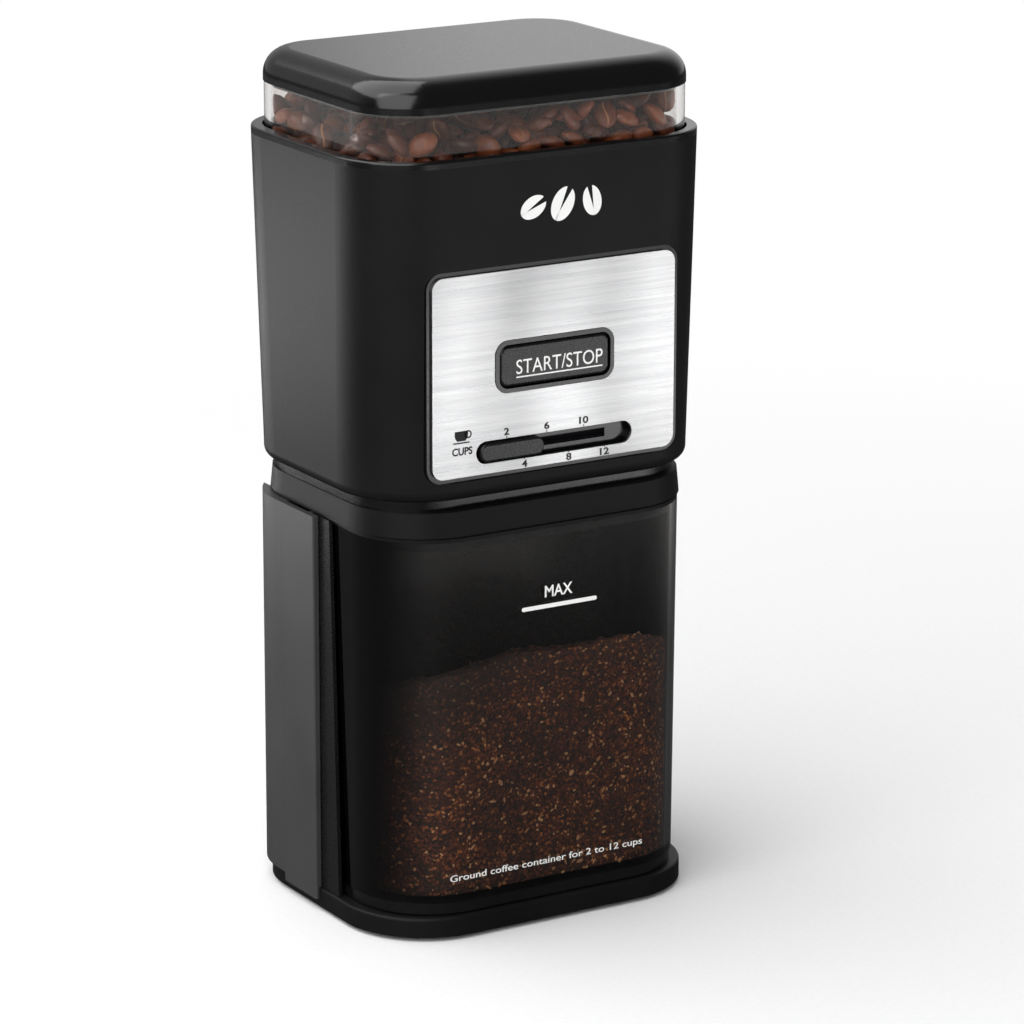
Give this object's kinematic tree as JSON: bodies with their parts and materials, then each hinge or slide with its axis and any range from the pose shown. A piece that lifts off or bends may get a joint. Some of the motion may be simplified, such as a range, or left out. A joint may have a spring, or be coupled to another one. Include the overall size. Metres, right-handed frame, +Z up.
{
  "type": "burr coffee grinder",
  "caption": "Tower burr coffee grinder: clear lidded bean hopper on a control head with start button and cups slider, motor column, and clear grounds container that slides out.",
  "frame": {"origin": "middle of the footprint on the table, under the burr axis", "axes": "+Z up along the burr axis, -Y towards the front panel and the container, +X to the right seen from the front"},
  "size_m": [0.1312, 0.1048, 0.284],
  "materials": {
    "satin_black": "satin",
    "gloss_black": "gloss",
    "panel_grey": "satin",
    "clear_smoke": "gloss",
    "brushed_sheet": "brushed",
    "steel": "machined",
    "burr_steel": "sintered",
    "chrome": "polished",
    "rubber": "matte",
    "zinc": "zinc plated",
    "magnet": "ferrite",
    "copper": "satin",
    "bronze": "sintered",
    "carbon": "matte",
    "natural_nylon": "satin",
    "grey_nylon": "satin",
    "board_green": "satin",
    "component": "satin"
  },
  "bodies": {
    "stand": {"base_tray": "satin_black", "rubber_feet": "rubber", "base_screws": "zinc", "column_shell": "panel_grey", "rear_cover": "panel_grey", "rear_cover_screws": "zinc", "cradle_liner": "gloss_black", "collar_ring": "satin_black", "neck_plate": "gloss_black", "head_shell": "satin_black", "chassis_deck": "grey_nylon", "head_screws": "zinc", "rim_bezel": "gloss_black", "control_bezel": "gloss_black", "control_plate": "brushed_sheet", "start_switch": "component", "cups_potentiometer": "component", "control_board": "board_green", "board_screws": "zinc", "board_components": "component", "gearbox_housing": "grey_nylon", "shaft_bush": "bronze", "burr_housing": "satin_black", "discharge_chute": "satin_black", "motor_can": "zinc", "motor_end_cap": "natural_nylon", "motor_bearings": "bronze", "motor_magnets": "magnet", "motor_brushes": "carbon", "motor_bracket": "zinc", "motor_screws": "zinc", "power_board": "board_green", "power_components": "component", "container_switch": "component", "cord_gland": "rubber"},
    "hopper": {"bean_hopper": "clear_smoke"},
    "lid": {"hopper_lid": "gloss_black"},
    "container": {"container_jar": "clear_smoke", "container_foot": "gloss_black", "container_lid": "satin_black"},
    "button": {"start_button": "satin_black"},
    "slider": {"cups_slider": "satin_black"},
    "burr_rotor": {"burr_shaft": "steel", "drive_gear": "natural_nylon", "burr_hub": "grey_nylon", "lower_burr": "burr_steel", "burr_nut": "steel"},
    "motor_rotor": {"motor_shaft": "steel", "motor_pinion": "steel", "motor_armature": "steel", "motor_commutator": "copper"},
    "carrier": {"burr_carrier": "satin_black", "upper_burr": "burr_steel"},
    "bail": {"carrier_handle": "chrome"}
  },
  "joints": [
    {"name": "hopper_lift", "type": "slide", "parent": "stand", "child": "hopper", "axis": [0, 0, 1], "range_m": [0, 0.1]},
    {"name": "lid_lift", "type": "slide", "parent": "hopper", "child": "lid", "axis": [0, 0, 1], "range_m": [0, 0.06]},
    {"name": "container_slide", "type": "slide", "parent": "stand", "child": "container", "axis": [0, -1, 0], "range_m": [0, 0.12]},
    {"name": "start_press", "type": "slide", "parent": "stand", "child": "button", "axis": [0, 1, 0], "range_m": [0, 0.0015], "stiffness_N_per_m": 900, "springref_m": -0.001},
    {"name": "cups_slide", "type": "slide", "parent": "stand", "child": "slider", "axis": [1, 0, 0], "range_m": [0, 0.0328]},
    {"name": "burr_spin", "type": "hinge", "parent": "stand", "child": "burr_rotor", "pos_m": [0, 0, 0.17], "axis": [0, 0, 1], "continuous": true},
    {"name": "motor_spin", "type": "hinge", "parent": "stand", "child": "motor_rotor", "pos_m": [0, 0.026, 0.11], "axis": [0, 0, 1], "continuous": true},
    {"name": "carrier_turn", "type": "hinge", "parent": "stand", "child": "carrier", "pos_m": [0, 0, 0.195], "axis": [0, 0, 1], "range_deg": [-40, 40]},
    {"name": "bail_lift", "type": "hinge", "parent": "carrier", "child": "bail", "pos_m": [0, 0, 0.201], "axis": [1, 0, 0], "range_deg": [0, 90]}
  ],
  "couplings": [
    {"joint": "motor_spin", "follows": "burr_spin", "ratio": -3}
  ]
}
